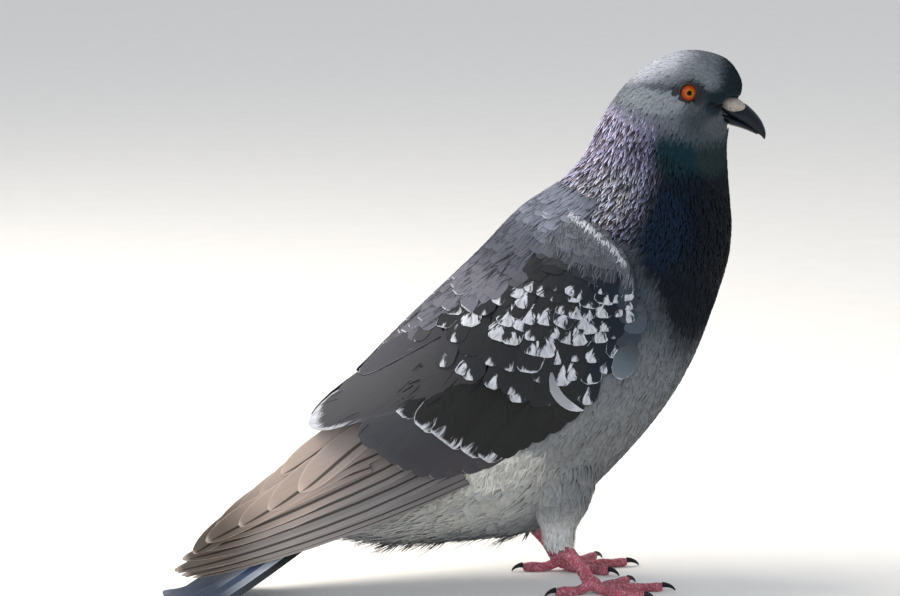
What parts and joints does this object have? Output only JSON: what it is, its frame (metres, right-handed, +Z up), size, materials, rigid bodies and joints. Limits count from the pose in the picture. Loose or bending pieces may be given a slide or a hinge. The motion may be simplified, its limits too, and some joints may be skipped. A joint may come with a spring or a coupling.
{
  "type": "pigeon model",
  "caption": "Life-size still model of a feral pigeon standing with folded wings, its head up, its weight on both feet and its tail tip on the floor.",
  "frame": {"origin": "on the floor, under the middle of the bird's box: halfway from the bill tip to the tail tip, on the mid plane", "axes": "+X towards the bill, +Y to the bird's left, +Z up; the floor is z = 0"},
  "size_m": [0.2624, 0.0878, 0.2334],
  "materials": {
    "head_feathers": "short dense slate-grey feathers, matt",
    "neck_feathers": "small pointed feathers with a green and violet sheen",
    "body_feathers": "soft slate to pale grey feathers, matt",
    "tail_feathers": "blue-grey feathers with a dark band near the end",
    "cere": "powdery off-white bare skin",
    "bill": "blackish horn with a slight gloss",
    "eye": "wet orange-red iris round a small black pupil",
    "wing_coverts": "charcoal feathers with white flecks, matt",
    "inner_flight_feathers": "charcoal to slate feathers with thin pale rims",
    "outer_flight_feathers": "brown-grey worn feathers with thin pale rims",
    "thigh_feathers": "loose pale grey feathers, matt",
    "leg_skin": "dull red scaly skin",
    "claw": "blackish horn"
  },
  "bodies": {
    "root": {"head": "head_feathers", "neck": "neck_feathers", "trunk": "body_feathers", "tail": "tail_feathers", "cere": "cere", "bill_upper": "bill", "bill_lower": "bill", "eye_right": "eye", "eye_left": "eye", "wing_right": "wing_coverts", "wing_left": "wing_coverts", "secondaries_right": "inner_flight_feathers", "secondaries_left": "inner_flight_feathers", "primaries_right": "outer_flight_feathers", "primaries_left": "outer_flight_feathers", "thigh_right": "thigh_feathers", "thigh_left": "thigh_feathers", "tarsus_right": "leg_skin", "tarsus_left": "leg_skin", "toe_inner_right": "leg_skin", "toe_middle_right": "leg_skin", "toe_outer_right": "leg_skin", "toe_hind_right": "leg_skin", "toe_inner_left": "leg_skin", "toe_middle_left": "leg_skin", "toe_outer_left": "leg_skin", "toe_hind_left": "leg_skin", "claw_inner_right": "claw", "claw_middle_right": "claw", "claw_outer_right": "claw", "claw_hind_right": "claw", "claw_inner_left": "claw", "claw_middle_left": "claw", "claw_outer_left": "claw", "claw_hind_left": "claw"}
  },
  "joints": []
}
